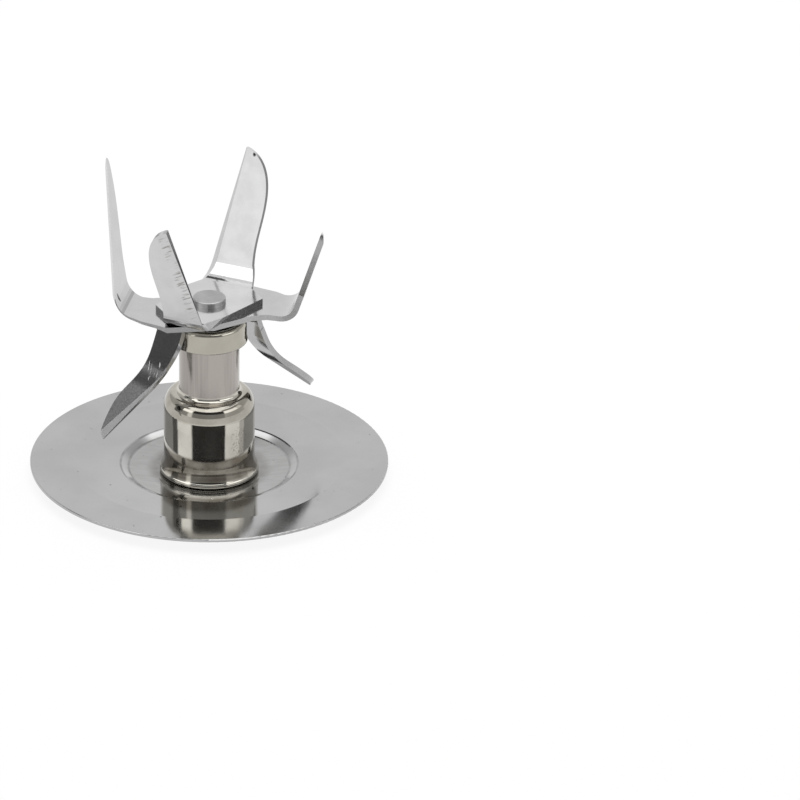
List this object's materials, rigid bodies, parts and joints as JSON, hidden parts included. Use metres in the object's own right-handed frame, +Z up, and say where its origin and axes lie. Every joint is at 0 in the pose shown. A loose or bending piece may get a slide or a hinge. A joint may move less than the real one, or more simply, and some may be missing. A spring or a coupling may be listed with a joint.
{
  "type": "blender blade assembly",
  "caption": "Blender cutter with bent, ground blades riveted on a keyed shaft that turns in a stepped post on a round dished jar flange.",
  "frame": {"origin": "on the axis of the shaft at the underside of the flange", "axes": "+Z up the post to the blades, +X to the right and +Y away as seen in the picture"},
  "size_m": [0.0635, 0.0634, 0.0555],
  "materials": {
    "flange_steel": "satin polished sheet",
    "nickel_plate": "polished warm nickel plate",
    "cap_steel": "polished",
    "blade_steel": "bright rolled sheet, ground edges",
    "shaft_steel": "turned",
    "sintered_steel": "sintered, matt",
    "sintered_bronze": "sintered, oiled",
    "seal_rubber": "matt",
    "nylon": "natural nylon",
    "felt": "oil soaked felt"
  },
  "bodies": {
    "base": {"flange_plate": "flange_steel", "bearing_housing": "nickel_plate", "seal_cap": "cap_steel", "shaft_seal": "seal_rubber", "upper_bush": "sintered_bronze", "oil_wick": "felt", "lower_bush": "sintered_bronze", "nylon_washer": "nylon"},
    "rotor": {"shaft": "shaft_steel", "blade_spacer": "shaft_steel", "lower_blade": "blade_steel", "middle_blade": "blade_steel", "upper_blade": "blade_steel", "steel_washer": "shaft_steel", "drive_socket": "sintered_steel"}
  },
  "joints": [
    {"name": "rotor_spin", "type": "hinge", "parent": "base", "child": "rotor", "pos_m": [0, 0, 0.02], "axis": [0, 0, 1], "continuous": true}
  ]
}
